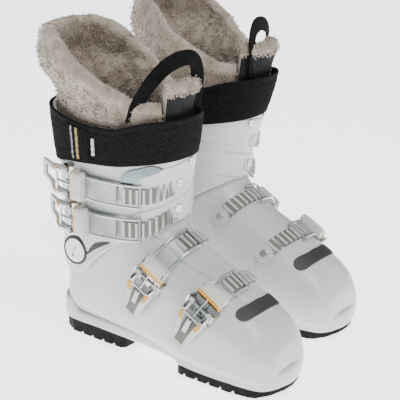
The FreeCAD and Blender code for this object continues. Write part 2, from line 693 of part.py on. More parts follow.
BUCKLES = {
    1: {"skin": shell_body, "centre": (192, 0, 50), "hook": (219, 0, 99), "yoke": (213, 33, 90),
        "teeth": 10, "skew": -0.8, "tip_shift": 0.0, "tip_lift": 7.0},
    2: {"skin": shell_body, "centre": (134, 0, 78), "hook": (161, 0, 127), "yoke": (150, 40, 108),
        "teeth": 10, "skew": -0.8, "tip_shift": 0.0, "tip_lift": 7.0},
    3: {"skin": cuff_outer, "centre": (82, 2, 143), "hook": (127, 38, 143), "yoke": (68, 52, 143),
        "teeth": 9, "skew": -3.0, "tip_shift": 12.0, "tip_lift": 9.0},
    4: {"skin": cuff_outer, "centre": (82, 5, 181), "hook": (127, 38, 179), "yoke": (68, 52, 181),
        "teeth": 9, "skew": -1.8, "tip_shift": 12.0, "tip_lift": 14.0},
}
hinges = {}
racks = {}
bases = {}
rivets = {}
for number, spec in BUCKLES.items():
    line = Line(spec["skin"], spec["centre"], spec["hook"], spec["yoke"])
    yoke_spot = line.over(line.yoke_turn, size("hinge_lift"))
    hinge_turn = line.turn_beyond(line.yoke_turn, yoke_spot, 16.0, size("hinge_lift"))
    hinge = line.over(hinge_turn, size("hinge_lift"))
    tip_turn = line.turn_beyond(hinge_turn, hinge, size("lever_length"), spec["tip_lift"])
    forward = unit(hinge - line.over(tip_turn, spec["tip_lift"]))
    outward = unit(forward.cross(line.across))
    middle_way = unit(hinge - line.centre)
    sideways = line.across if outward.dot(middle_way) > 0 else line.across * -1
    frame = Placement(hinge, Rotation(forward, sideways, unit(forward.cross(sideways)), "ZXY"))
    hinges[number] = (frame, forward, sideways)
    lever(number, frame, spec["tip_shift"])
    feature("bail_%d" % number, bail(line, frame, spec["skin"] is cuff_outer))
    racks[number], rack_rivet = rack(line, spec["teeth"], spec["skew"])
    bases[number] = base(line, hinge_turn, frame)
    rivets[number] = [rack_rivet]

# A pressed plate beside the upper rack, riveted at its front end.
PLATE = [(115, 192), (118, 189), (133, 196.5), (146, 203), (151, 207.5), (147, 211), (138, 209.5),
         (126, 205.5), (117, 199)]
plate_skin = loft(offset_all(CUFF, -0.3))
plate_top = loft(offset_all(CUFF, -1.9))
ladder_plate = side_patch(PLATE, -9, 70).common(plate_top.cut(plate_skin))
plate_centre = place(90, 0, 200)
plate_way = unit(place(144, -1, 207) - plate_centre)
plate_seat = skin_point(plate_top, plate_centre, plate_way)
ladder_plate = ladder_plate.cut(rivet_hole(plate_seat, plate_way, 12.0))
feature("ladder_plate", tidy(ladder_plate))

feature("shell_ladders", Part.makeCompound([racks[1], racks[2]]))
feature("cuff_ladders", Part.makeCompound([racks[3], racks[4]]))
feature("shell_buckle_bases", Part.makeCompound([bases[1], bases[2]]))
feature("cuff_buckle_bases", Part.makeCompound([bases[3], bases[4]]))
shell_rivets = rivets[1] + rivets[2]
cuff_rivets = rivets[3] + rivets[4] + [(plate_seat, plate_way)]
feature("shell_rivets", Part.makeCompound([tidy(rivet(seat, way, 6.4)) for seat, way in shell_rivets]))
feature("cuff_rivets", Part.makeCompound([tidy(rivet(seat, way, 5.6)) for seat, way in cuff_rivets]))

# ---------------------------------------------------------------- shell and cuff, with their holes

shell_holes = [rivet_hole(seat, way, 12.0) for seat, way in shell_rivets]
cuff_holes = [rivet_hole(seat, way, 12.0) for seat, way in cuff_rivets]
feature("lower_shell", tidy(shell_shape.cut([pivot_hole, screw_holes.Shape] + shell_holes)))
feature("cuff", tidy(cuff_shape.cut(cuff_holes)))

# ---------------------------------------------------------------- the left boot, and the files

pieces = []
for source, label in right_pieces:
    twin = doc.addObject("Part::Mirroring", "left_" + label)
    twin.Source = source
    twin.Normal = Vector(1, 0, 0)
    twin.setExpression(".Placement.Base.y", "<<sizes>>.setback")
    twin.Label = "left_" + label
    pieces += [source, twin]
doc.recompute()

for item in doc.Objects:
    if "Invalid" in item.State or "Error" in item.State:
        raise RuntimeError("failed object: " + item.Label)
for piece in pieces:
    if piece.Shape.isNull() or not piece.Shape.isValid() or piece.Shape.Volume <= 0:
        raise RuntimeError("bad shape: " + piece.Label)

os.makedirs("parts", exist_ok=True)
for piece in pieces:
    piece.Shape.exportStep("parts/%s.step" % piece.Label)
print(len(pieces), "parts written")
for number, (frame, forward, sideways) in hinges.items():
    print("lever %d hinge" % number, frame.Base, "axis", sideways)
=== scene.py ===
import json
import math

import bpy
import numpy as np
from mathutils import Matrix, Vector
from mathutils.bvhtree import BVHTree


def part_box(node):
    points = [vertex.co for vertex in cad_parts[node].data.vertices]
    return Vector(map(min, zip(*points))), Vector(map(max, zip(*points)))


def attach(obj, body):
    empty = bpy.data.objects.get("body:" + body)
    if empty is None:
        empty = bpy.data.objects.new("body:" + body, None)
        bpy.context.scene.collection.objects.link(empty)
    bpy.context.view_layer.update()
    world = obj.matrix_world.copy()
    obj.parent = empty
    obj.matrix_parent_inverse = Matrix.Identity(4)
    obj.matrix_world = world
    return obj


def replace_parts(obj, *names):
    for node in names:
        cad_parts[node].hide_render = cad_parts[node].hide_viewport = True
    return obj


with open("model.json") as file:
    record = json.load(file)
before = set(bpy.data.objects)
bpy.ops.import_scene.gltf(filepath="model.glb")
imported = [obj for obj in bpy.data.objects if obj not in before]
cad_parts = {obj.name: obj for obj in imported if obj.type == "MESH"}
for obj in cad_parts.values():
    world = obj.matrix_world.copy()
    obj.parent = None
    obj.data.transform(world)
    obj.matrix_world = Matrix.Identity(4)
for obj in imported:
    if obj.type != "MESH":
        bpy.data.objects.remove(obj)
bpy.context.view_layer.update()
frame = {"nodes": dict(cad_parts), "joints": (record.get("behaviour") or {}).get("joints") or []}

# A pair of alpine ski boots. Each boot is laid out in its own terms, in millimetres: ahead of the
# heel line, out towards the outer side of the foot, and up from the floor. The left boot is the
# right boot's mirror image, set back a little.

MM = 0.001
SIDES = ("right", "left")
right_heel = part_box("right_lower_shell")[1].y
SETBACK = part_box("left_lower_shell")[1].y - right_heel
HEEL_LINE = right_heel - 1.5 * MM
HALF_SPACING = 70.5 * MM
rng = np.random.default_rng(7)


def to_frame(points, side):
    """Boot terms in millimetres to the frame in metres."""
    points = np.asarray(points, float)
    across = HALF_SPACING + points[..., 1] * MM
    out = np.empty_like(points)
    out[..., 0] = -across if side == "right" else across
    out[..., 1] = HEEL_LINE - points[..., 0] * MM + (SETBACK if side == "left" else 0.0)
    out[..., 2] = points[..., 2] * MM
    return out


def spot(ahead, out, up, side="right"):
    return Vector(to_frame([ahead, out, up], side))


def smooth(value, low, high):
    """0 below low, 1 above high, eased between."""
    share = np.clip((value - low) / (high - low), 0, 1)
    return share * share * (3 - 2 * share)


# ---------------------------------------------------------------- materials


class Paint:
    """A material under construction: a Principled shader and the nodes that feed it."""

    def __init__(self, name, **sockets):
        self.material = bpy.data.materials.new(name)
        self.material.use_nodes = True
        self.nodes = self.material.node_tree.nodes
        self.links = self.material.node_tree.links
        self.shader = self.nodes["Principled BSDF"]
        for socket, value in sockets.items():
            self.shader.inputs[socket.replace("_", " ")].default_value = value
        self.place = self.nodes.new("ShaderNodeTexCoord").outputs["Object"]

    def noise(self, scale, detail=3.0, stretch=None):
        node = self.nodes.new("ShaderNodeTexNoise")
        node.inputs["Scale"].default_value = scale
        node.inputs["Detail"].default_value = detail
        if stretch:
            mapping = self.nodes.new("ShaderNodeMapping")
            mapping.inputs["Scale"].default_value = stretch
            self.links.new(self.place, mapping.inputs["Vector"])
            self.links.new(mapping.outputs["Vector"], node.inputs["Vector"])
        else:
            self.links.new(self.place, node.inputs["Vector"])
        return node.outputs["Fac"]

    def cells(self, scale):
        node = self.nodes.new("ShaderNodeTexVoronoi")
        node.inputs["Scale"].default_value = scale
        self.links.new(self.place, node.inputs["Vector"])
        return node.outputs["Distance"]

    def weave(self, scale):
        """Two crossed waves, as the threads of a webbing."""
        waves = []
        for direction in ("X", "Z"):
            wave = self.nodes.new("ShaderNodeTexWave")
            wave.bands_direction = direction
            wave.inputs["Scale"].default_value = scale
            wave.inputs["Distortion"].default_value = 0.6
            self.links.new(self.place, wave.inputs["Vector"])
            waves.append(wave.outputs["Fac"])
        product = self.nodes.new("ShaderNodeMath")
        product.operation = "MULTIPLY"
        self.links.new(waves[0], product.inputs[0])
        self.links.new(waves[1], product.inputs[1])
        return product.outputs[0]

    def color(self, source, first, second, low=0.35, high=0.65):
        ramp = self.nodes.new("ShaderNodeValToRGB")
        ramp.color_ramp.elements[0].position = low
        ramp.color_ramp.elements[0].color = (*first, 1)
        ramp.color_ramp.elements[1].position = high
        ramp.color_ramp.elements[1].color = (*second, 1)
        self.links.new(source, ramp.inputs["Fac"])
        self.links.new(ramp.outputs["Color"], self.shader.inputs["Base Color"])
        return self

    def rough(self, source, low, high):
        spread = self.nodes.new("ShaderNodeMapRange")
        spread.inputs["To Min"].default_value = low
        spread.inputs["To Max"].default_value = high
        self.links.new(source, spread.inputs["Value"])
        self.links.new(spread.outputs["Result"], self.shader.inputs["Roughness"])
        return self

    def bump(self, source, strength, distance):
        node = self.nodes.new("ShaderNodeBump")
        node.inputs["Strength"].default_value = strength
        node.inputs["Distance"].default_value = distance
        self.links.new(source, node.inputs["Height"])
        self.links.new(node.outputs["Normal"], self.shader.inputs["Normal"])
        return self


def moulded(name, color, second, low, high, **sockets):
    """Injection-moulded plastic: a fine orange-peel skin and slight clouding."""
    paint = Paint(name, **sockets)
    paint.color(paint.noise(14.0), color, second)
    paint.rough(paint.noise(60.0), low, high)
    return paint.bump(paint.noise(900.0, 2.0), 0.06, 0.0004).material


def metal(name, color, second, low, high):
    paint = Paint(name, Metallic=1.0)
    paint.color(paint.noise(40.0), color, second)
    paint.rough(paint.noise(220.0, 4.0, (1, 6, 1)), low, high)
    return paint.bump(paint.noise(700.0, 2.0), 0.05, 0.0002).material


def cloth(name, color, second, threads, **sockets):
    paint = Paint(name, Roughness=0.85, **sockets)
    paint.color(paint.noise(260.0, 4.0), color, second)
    return paint.bump(paint.weave(threads), 0.5, 0.0004).material


def plush(name, color, second):
    paint = Paint(name, Roughness=0.9, Sheen_Weight=0.5, Sheen_Roughness=0.45)
    paint.color(paint.noise(85.0, 6.0), color, second, 0.36, 0.62)
    return paint.bump(paint.noise(700.0, 3.0), 0.5, 0.0006).material


MATERIALS = {
    "shell": moulded("satin_shell", (0.60, 0.615, 0.615), (0.64, 0.655, 0.655), 0.24, 0.34,
                     Coat_Weight=0.15, Coat_Roughness=0.3),
    "buckle": moulded("warm_white_buckle", (0.60, 0.60, 0.57), (0.66, 0.66, 0.63), 0.3, 0.42),
    # Painted shade: a dark grey laid in the rack recesses and between the shell levers' arms.
    "groove": moulded("recess_painted_shade", (0.13, 0.13, 0.12), (0.20, 0.20, 0.185), 0.4, 0.5),
    "insert": moulded("dark_insert", (0.02, 0.0205, 0.021), (0.032, 0.032, 0.033), 0.5, 0.65),
    "board": moulded("dark_board", (0.03, 0.03, 0.033), (0.05, 0.05, 0.055), 0.55, 0.7),
    "chrome": metal("bright_metal", (0.50, 0.54, 0.56), (0.68, 0.71, 0.72), 0.08, 0.2),
    "plate": metal("blued_plate", (0.13, 0.17, 0.18), (0.24, 0.29, 0.30), 0.16, 0.3),
    "web": metal("satin_web", (0.27, 0.28, 0.28), (0.40, 0.41, 0.41), 0.4, 0.52),
    "steel": metal("plated_steel", (0.42, 0.42, 0.42), (0.55, 0.55, 0.55), 0.3, 0.45),
    "amber": moulded("amber_moulding", (0.58, 0.27, 0.025), (0.70, 0.36, 0.05), 0.25, 0.35),
    "cream": moulded("cream_moulding", (0.74, 0.62, 0.36), (0.78, 0.68, 0.44), 0.28, 0.38),
    "liner": cloth("charcoal_liner", (0.010, 0.0105, 0.0115), (0.02, 0.021, 0.022), 300.0,
                   Specular_IOR_Level=0.2),
    "bed": cloth("felt_bed", (0.16, 0.15, 0.14), (0.25, 0.23, 0.21), 240.0),
    "strap": cloth("charcoal_strap", (0.003, 0.003, 0.0033), (0.008, 0.008, 0.0085), 420.0,
                   Specular_IOR_Level=0.12),
    "tab": cloth("grey_tab", (0.25, 0.26, 0.27), (0.34, 0.35, 0.36), 420.0),
    "gold_tab": cloth("gold_tab_stripe", (0.36, 0.24, 0.09), (0.5, 0.34, 0.14), 420.0),
    "label": cloth("white_label", (0.6, 0.6, 0.6), (0.72, 0.72, 0.72), 500.0),
    "webbing": cloth("black_webbing", (0.002, 0.002, 0.0022), (0.005, 0.005, 0.0055), 360.0,
                     Specular_IOR_Level=0.12),
    "plush": plush("taupe_plush", (0.27, 0.215, 0.165), (0.44, 0.37, 0.30)),
    "pile": plush("taupe_pile", (0.33, 0.265, 0.205), (0.58, 0.49, 0.40)),
}
rubber = Paint("lugged_rubber", Roughness=0.7, Specular_IOR_Level=0.15)
rubber.color(rubber.noise(120.0, 4.0), (0.004, 0.004, 0.004), (0.011, 0.011, 0.011))
rubber.bump(rubber.cells(900.0), 0.25, 0.0004)
MATERIALS["rubber"] = rubber.material

NODE_PAINT = {
    "shell_ladders": "buckle", "cuff_ladders": "buckle", "toe_sole": "rubber", "heel_sole": "rubber",
    "sole_screws": "steel", "boot_board": "board", "liner_foot": "liner", "footbed": "bed",
    "cuff_pivots": "chrome", "toe_insert": "insert", "cuff_insert": "insert", "ladder_plate": "plate",
    "shell_buckle_bases": "chrome", "cuff_buckle_bases": "chrome", "shell_rivets": "chrome",
    "cuff_rivets": "chrome", "lower_shell": "shell", "cuff": "shell", "power_strap": "strap",
    "pull_loop": "webbing", "liner_collar": "plush", "liner_tongue": "plush",
}


def cad_node(side, label):
    return frame["nodes"]["%s_%s" % (side, label)]


def dress(side, label, material):
    """Give a CAD node its material."""
    mesh = cad_node(side, label).data
    mesh.materials.clear()
    mesh.materials.append(material)


for side in SIDES:
    for label, paint in NODE_PAINT.items():
        dress(side, label, MATERIALS[paint])
    for number in (1, 2, 3, 4):
        dress(side, "lever_%d" % number, MATERIALS["buckle"])
        dress(side, "bail_%d" % number, MATERIALS["chrome"])

# ---------------------------------------------------------------- meshes


def volume(points, faces):
    """Signed volume of a closed mesh."""
    total = 0.0
    for size in {len(face) for face in faces}:
        group = np.array([face for face in faces if len(face) == size])
        first = points[group[:, 0]]
        for step in range(1, size - 1):
            total += np.einsum("ij,ij->", first, np.cross(points[group[:, step]], points[group[:, step + 1]]))
    return total / 6


def solid(name, side, body, placed, faces, materials, face_paint=None, shade=True):
    """A closed mesh from points in the frame, facing outwards. It rides on one of the boot's bodies."""
    mesh = bpy.data.meshes.new("%s_%s" % (side, name))
    placed = np.asarray(placed, float)
    if volume(placed - placed.mean(0), faces) < 0:
        faces = [tuple(reversed(face)) for face in faces]
    mesh.from_pydata(placed.tolist(), [], faces)
    for material in materials:
        mesh.materials.append(MATERIALS[material])
    if face_paint is not None:
        mesh.polygons.foreach_set("material_index", np.asarray(face_paint, np.int32))
    mesh.polygons.foreach_set("use_smooth", [shade] * len(mesh.polygons))
    mesh.update()
    obj = bpy.data.objects.new(mesh.name, mesh)
    bpy.context.scene.collection.objects.link(obj)
    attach(obj, side + "_" + body)
    return obj


def piece(name, side, body, points, faces, materials, face_paint=None, shade=True):
    """A closed mesh from points in boot terms."""
    return solid(name, side, body, to_frame(points, side), faces, materials, face_paint, shade)


def grid_faces(rows, columns, wrap_rows, wrap_columns, start=0):
    """Quads of a grid of points whose rows or columns may close on themselves."""
    faces = []
    for row in range(rows if wrap_rows else rows - 1):
        below = start + row * columns
        above = start + ((row + 1) % rows) * columns
        for column in range(columns if wrap_columns else columns - 1):
            beside = (column + 1) % columns
            faces.append((below + column, below + beside, above + beside, above + column))
    return faces


def power(value, exponent):
    return np.sign(value) * np.abs(value) ** exponent


def station(front, back, outer, inner, widest=0.5, lean=0.0, square_front=2.2, square_back=2.2):
    return {"front": front, "back": back, "outer": outer, "inner": inner, "widest": widest,
            "lean": lean, "square_front": square_front, "square_back": square_back}


def shrunk(source, amount):
    """The same section moved inwards all round."""
    front = np.array(source["front"], float)
    back = np.array(source["back"], float)
    unit = (back - front) / np.linalg.norm(back - front)
    smaller = dict(source)
    smaller["front"] = tuple(front + unit * amount)
    smaller["back"] = tuple(back - unit * amount)
    smaller["outer"] = source["outer"] - amount
    smaller["inner"] = source["inner"] - amount
    return smaller


def outline(source, columns):
    """Evenly spaced points of a section, quarter by quarter, from the rear round the outer side."""
    front = np.array(source["front"], float)
    back = np.array(source["back"], float)
    points = []
    for quarter in range(4):
        angle = np.radians(np.linspace(quarter * 90, quarter * 90 + 90, 241))
        cosine = np.cos(angle)
        sine = np.sin(angle)
        rear = quarter in (0, 3)
        reach = (1 - source["widest"]) if rear else source["widest"]
        square = source["square_back"] if rear else source["square_front"]
        depth = source["widest"] + reach * power(np.where(np.abs(cosine) < 1e-9, 0, cosine), 2 / square)
        wide = source["outer"] if quarter < 2 else source["inner"]
        out = source["lean"] + wide * power(np.where(np.abs(sine) < 1e-9, 0, sine), 2 / square)
        ahead = front[0] + (back[0] - front[0]) * depth
        up = front[1] + (back[1] - front[1]) * depth
        line = np.stack([ahead, out, up], 1)
        run = np.concatenate([[0], np.cumsum(np.linalg.norm(np.diff(line, axis=0), axis=1))])
        wanted = np.linspace(0, run[-1], columns // 4 + 1)[:-1]
        points.append(np.stack([np.interp(wanted, run, line[:, axis]) for axis in range(3)], 1))
    return np.concatenate(points)


class Skin:
    """A smooth surface through a run of sections."""

    def __init__(self, stations, columns):
        self.columns = columns
        self.values = np.array([outline(item, columns) for item in stations])
        count = len(stations)
        middle = self.values.mean(1)
        self.knots = np.concatenate([[0], np.cumsum(np.linalg.norm(np.diff(middle, axis=0), axis=1))])
        flat = self.values.reshape(count, -1)
        steps = np.diff(self.knots)
        slopes = np.diff(flat, axis=0) / steps[:, None]
        system = np.eye(count)
        right = np.zeros_like(flat)
        for row in range(1, count - 1):
            system[row, row - 1:row + 2] = [steps[row - 1], 2 * (steps[row - 1] + steps[row]), steps[row]]
            right[row] = 6 * (slopes[row] - slopes[row - 1])
        self.bends = np.linalg.solve(system, right).reshape(self.values.shape)

    def at(self, runs):
        """Points at a run for every row and column."""
        runs = np.asarray(runs, float)
        index = np.clip(np.searchsorted(self.knots, runs, side="right") - 1, 0, len(self.knots) - 2)
        column = np.broadcast_to(np.arange(self.columns), runs.shape)
        step = (self.knots[index + 1] - self.knots[index])[..., None]
        ahead = (runs - self.knots[index])[..., None]
        behind = step - ahead
        low = self.values[index, column]
        high = self.values[index + 1, column]
        low_bend = self.bends[index, column]
        high_bend = self.bends[index + 1, column]
        return (low_bend * behind ** 3 + high_bend * ahead ** 3) / (6 * step) \
            + (low / step - low_bend * step / 6) * behind + (high / step - high_bend * step / 6) * ahead

    def crossing(self, edge):
        """For every column, the run where edge(points) first turns positive."""
        runs = np.linspace(0, self.knots[-1], 500)
        height = edge(self.at(np.repeat(runs[:, None], self.columns, 1)))
        above = height > 0
        first = np.where(above.any(0), above.argmax(0), len(runs) - 1)
        first = np.maximum(first, 1)
        column = np.arange(self.columns)
        high = height[first, column]
        low = height[first - 1, column]
        share = np.where(above.any(0), np.clip(-low / np.where(high - low == 0, 1, high - low), 0, 1), 1)
        return runs[first - 1] + (runs[first] - runs[first - 1]) * share

    def grid(self, rows, start, end):
        share = np.linspace(0, 1, rows)[:, None]
        return self.at(start[None, :] * (1 - share) + end[None, :] * share)


def normals(points, wrap=True):
    """Outward normals of a grid whose columns run from the rear round the outer side."""
    if wrap:
        around = np.roll(points, -1, 1) - np.roll(points, 1, 1)
    else:
        around = np.gradient(points, axis=1)
    along = np.gradient(points, axis=0)
    normal = np.cross(around, along)
    normal /= np.maximum(np.linalg.norm(normal, axis=2, keepdims=True), 1e-9)
    centre = points.mean((0, 1))
    if np.sum(normal * (points - centre)) < 0:
        normal = -normal
    return normal


def wall(outer, inner, rim_steps=5, bulge=0.5, ends="both"):
    """Rows of a closed wall: up the outside, over a rounded rim, down the inside, and round below."""

    def rim(first, second, before):
        middle = (first + second) / 2
        half = (first - second) / 2
        away = first - before
        away /= np.maximum(np.linalg.norm(away, axis=1, keepdims=True), 1e-9)
        thick = np.linalg.norm(half, axis=1, keepdims=True)
        rows = []
        for step in range(1, rim_steps):
            angle = math.pi * step / rim_steps
            rows.append(middle + half * math.cos(angle) + away * thick * 2 * bulge * math.sin(angle))
        return rows

    rows = list(outer) + rim(outer[-1], inner[-1], outer[-2]) + list(inner[::-1])
    if ends == "both":
        rows += rim(inner[0], outer[0], inner[1])
    return np.array(rows)


def line_of(points):
    """Height of a smooth edge at a distance ahead, through (ahead, up) points."""
    ahead, up = np.array(points, float).T
    dense = np.linspace(ahead[0], ahead[-1], 300)
    eased = np.interp(dense, ahead, up)
    kernel = np.hanning(31)
    padded = np.pad(eased, 15, mode="edge")
    eased = np.convolve(padded, kernel / kernel.sum(), "valid")
    return lambda value: np.interp(value, dense, eased)


# ---------------------------------------------------------------- sections, as on the CAD model

SHELL = [
    station((281.0, 33), (281.0, 14), 15, 14, 0.55, 0, 2.2, 2.4),
    station((280.0, 42), (280.0, 11.5), 25, 23, 0.60, 0, 2.3, 2.8),
    station((276.5, 53), (276.5, 10.4), 33, 30, 0.64, 0, 2.4, 3.4),
    station((268.0, 66), (268.0, 10.0), 40, 37, 0.64, 0, 2.4, 3.8),
    station((254.0, 77), (254.0, 9.8), 44, 41, 0.64, 0, 2.4, 4.0),
    station((232.0, 89), (230.0, 9.8), 47, 44, 0.62, 0, 2.4, 4.0),
    station((205.0, 102), (198.0, 9.8), 48, 46, 0.60, 0, 2.4, 4.0),
    station((180.0, 114), (166.0, 11.0), 46, 45, 0.56, 0, 2.3, 3.8),
    station((160.0, 127), (132.0, 13.8), 43, 43, 0.50, 0, 2.2, 3.4),
    station((146.5, 139), (98.0, 14.2), 42, 42, 0.45, 0, 2.2, 3.0),
    station((140.5, 149), (60.0, 14.2), 42, 42, 0.40, 0, 2.2, 2.7),
    station((139.0, 156), (28.0, 14.4), 42, 42, 0.38, 0, 2.2, 2.5),
    station((138.5, 161), (9.0, 22.0), 42, 42, 0.38, 0, 2.2, 2.4),
    station((138.5, 165), (5.0, 45.0), 42, 42, 0.40, 0, 2.2, 2.3),
    station((138.5, 168), (9.5, 78.0), 42.5, 42.5, 0.44, 0, 2.2, 2.2),
    station((138.5, 170), (17.0, 104.0), 43, 43, 0.48, 0, 2.2, 2.2),
    station((139.0, 172), (19.0, 124.0), 43.5, 43.5, 0.50, 0.5, 2.2, 2.2),
]
CUFF = [
    station((150.0, 100), (4.0, 72.0), 49.0, 49.0, 0.5, 0.0, 2.3, 2.2),
    station((148.5, 126), (4.2, 100.0), 50.5, 50.5, 0.5, 0.0, 2.3, 2.2),
    station((147.5, 150), (5.5, 128.0), 51.0, 51.0, 0.5, 0.0, 2.3, 2.2),
    station((150.0, 172), (6.0, 154.0), 50.0, 50.0, 0.5, 2.0, 2.3, 2.2),
    station((154.5, 196), (7.0, 182.0), 49.5, 49.5, 0.5, 5.0, 2.3, 2.2),
    station((161.0, 222), (7.0, 212.0), 50.0, 50.0, 0.5, 8.5, 2.3, 2.2),
    station((168.0, 250), (6.0, 248.0), 51.0, 51.0, 0.5, 12.5, 2.3, 2.2),
    station((172.0, 272), (5.0, 274.0), 52.0, 52.0, 0.5, 15.0, 2.3, 2.2),
]
COLLAR_FLARE = [
    station((173.5, 294), (-2.5, 292.0), 56.5, 55.5, 0.5, 15.8, 2.3, 2.2),
    station((176.0, 315), (-4.0, 312.0), 57.0, 56.0, 0.5, 17.0, 2.3, 2.2),
    station((178.0, 342), (2.0, 338.0), 53.0, 52.0, 0.5, 18.0, 2.3, 2.2),
]
CUFF_LOWER_EDGE = [(-25, 82), (15, 82), (40, 79), (60, 87), (79, 107), (100, 123), (125, 137), (150, 150),
                   (175, 164)]
CUFF_UPPER_EDGE = [(-25, 256), (10, 252), (45, 240), (90, 231), (130, 232), (185, 240)]
STRAP_LOWER_EDGE = [(-40, 189), (30, 197), (50, 202.5), (80, 205.5), (114, 208), (140, 212), (190, 218)]
STRAP_UPPER_EDGE = [(-40, 255), (30, 253), (75, 247), (115, 247), (150, 258), (190, 262)]
COLLAR_UPPER_EDGE = [(-40, 322), (-6, 331), (18, 334), (45, 325), (75, 302), (100, 283), (130, 272),
                     (190, 266)]
CUFF_WALL = 4.5
SHELL_WALL = 5.0

# ---------------------------------------------------------------- lower shell

FLAP_SEAM = [(120, 31), (133, 28), (144, 25), (165, 23), (201, 19), (224, 15), (241, 11), (262, 5)]


def shell_relief(points):
    """The instep flap's overlap on the outer side: a fine groove and a low step beside it."""
    ahead, out, up = points[..., 0], points[..., 1], points[..., 2]
    seam_ahead, seam_out = np.array(FLAP_SEAM, float).T
    side_step = out - np.interp(ahead, seam_ahead, seam_out)
    on_top = smooth(up, 60, 74) * smooth(ahead, 118, 132) * (1 - smooth(ahead, 236, 250))
    groove = np.exp(-(side_step / 0.9) ** 2) * 1.9
    flap = (1 - smooth(side_step, -0.8, 0.2)) * smooth(out, -30, 0) * 0.9
    return on_top * (flap - groove)


def lower_shell(side):
    skin = Skin(SHELL, 272)
    start = np.full(skin.columns, 0.0)
    end = np.full(skin.columns, skin.knots[-1])
    outer = skin.grid(170, start, end)
    facing = normals(outer)
    inner = outer - facing * SHELL_WALL
    outer = outer + facing * shell_relief(outer)[..., None]
    rows = wall(outer, inner, ends="top")
    points = rows.reshape(-1, 3)
    faces = grid_faces(len(rows), skin.columns, False, True)
    last = len(points) - skin.columns
    faces.append(tuple(reversed(range(skin.columns))))
    faces.append(tuple(range(last, last + skin.columns)))
    shell = piece("shell_moulding", side, "boot", points, faces, ["shell"])
    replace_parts(shell, side + "_lower_shell")
    return shell


# ---------------------------------------------------------------- welt: toe lip and heel ledge

LIP = [(284, 8), (284, -6), (279, -24), (268, -34), (235, -38.5), (190, -38), (150, -33), (110, -29),
       (60, -29), (20, -27), (4, -18), (-1.5, 0), (4, 18), (20, 28), (60, 30), (110, 32), (150, 36),
       (190, 40.5), (235, 41), (268, 37), (279, 26)]


def between(first, second, third, fourth, share):
    """A smooth curve's point between the second and third of four points."""
    return 0.5 * (2 * second + (third - first) * share
                  + (2 * first - 5 * second + 4 * third - fourth) * share ** 2
                  + (3 * second - first - 3 * third + fourth) * share ** 3)


def closed_curve(points, count):
    """A smooth closed curve through plan points, evenly spaced."""
    points = np.array(points, float)
    number = len(points)
    dense = []
    for index in range(number):
        around = [points[(index + step) % number] for step in (-1, 0, 1, 2)]
        dense += [between(*around, share) for share in np.linspace(0, 1, 24, endpoint=False)]
    dense = np.array(dense + dense[:1])
    run = np.concatenate([[0], np.cumsum(np.linalg.norm(np.diff(dense, axis=0), axis=1))])
    wanted = np.linspace(0, run[-1], count, endpoint=False)
    return np.stack([np.interp(wanted, run, dense[:, axis]) for axis in (0, 1)], 1)


def welt(side):
    """The welt under the shell: lip thick at the toe, raised at the arch, and a ledge at the heel."""
    plan = closed_curve(LIP, 260)
    ahead = plan[:, 0]
    toe = smooth(ahead, 164, 174)
    heel = 1 - smooth(ahead, 20, 32)
    top = 27.0 + 11.0 * heel - 1.5 * (1 - toe) * (1 - heel)
    bottom = 13.5 - 4.5 * toe
    centre = np.stack([np.clip(ahead, 45, 238), np.zeros(len(plan))], 1)
    inward = centre - plan
    inward /= np.linalg.norm(inward, axis=1, keepdims=True)
    profile = [(14.0, 0.0), (1.6, 0.0), (0.5, 0.12), (0.0, 0.3), (0.0, 0.7), (0.5, 0.9), (1.8, 1.0),
               (14.0, 1.12)]
    rows = []
    for inset, share in profile:
        place = plan + inward * inset
        share = np.minimum(share, 1.0 + 0.12 * (1 - heel) * toe)
        rows.append(np.column_stack([place, bottom + (top - bottom) * share]))
    rows = np.array(rows)
    faces = grid_faces(len(rows), len(plan), True, True)
    return piece("welt", side, "boot", rows.reshape(-1, 3), faces, ["shell"])


# ---------------------------------------------------------------- cuff


def around_cuff(points):
    """Degrees round the cuff from the front, positive on the outer side."""
    return np.degrees(np.arctan2(points[..., 1] - 4.0, points[..., 0] - 78.0))


def raised_band(turn, up, left_turn, left_up, rise, half):
    """A panel with a round end that carries a rack, and runs out towards the inner side."""
    middle = left_up + (left_turn - turn) * rise
    beyond = np.maximum(turn - left_turn, 0) * 0.95
    reach = np.sqrt((up - middle) ** 2 + beyond ** 2)
    return (1 - smooth(reach, half - 0.9, half + 0.9)) * smooth(turn, -70, -35)


LENS_CENTRE = (81, 114.5)
LENS_WAY = (0.809, 0.588)
LENS_HALF = (19.5, 4.6)
CAPSULE_CENTRE = (105, 170)
CAPSULE_HALF = (28, 8.0)


def cuff_relief(points):
    """Raised panels under the racks, a capsule on the inner side, and the lens insert's recess."""
    ahead, out, up = points[..., 0], points[..., 1], points[..., 2]
    turn = around_cuff(points)
    lower = raised_band(turn, up, 36, 147, 0.33, 13.5)
    upper = raised_band(turn, up, 40, 189, 0.22, 14.5)
    beside = ahead - CAPSULE_CENTRE[0]
    above = up - CAPSULE_CENTRE[1] - beside * 0.08
    reach = np.sqrt(above ** 2 + np.maximum(np.abs(beside) - CAPSULE_HALF[0], 0) ** 2)
    capsule = np.exp(-((reach - CAPSULE_HALF[1]) / 1.3) ** 2) * smooth(-out, 25, 35)
    beside = ahead - LENS_CENTRE[0]
    above = up - LENS_CENTRE[1]
    along = beside * LENS_WAY[0] + above * LENS_WAY[1]
    across = above * LENS_WAY[0] - beside * LENS_WAY[1] + along ** 2 * 0.012 - 1.5
    lens = 1 - smooth((along / LENS_HALF[0]) ** 2 + (across / LENS_HALF[1]) ** 2, 0.85, 1.1)
    return 1.6 * np.maximum(lower, upper) + 0.7 * capsule - 0.8 * lens * smooth(out, 10, 25)


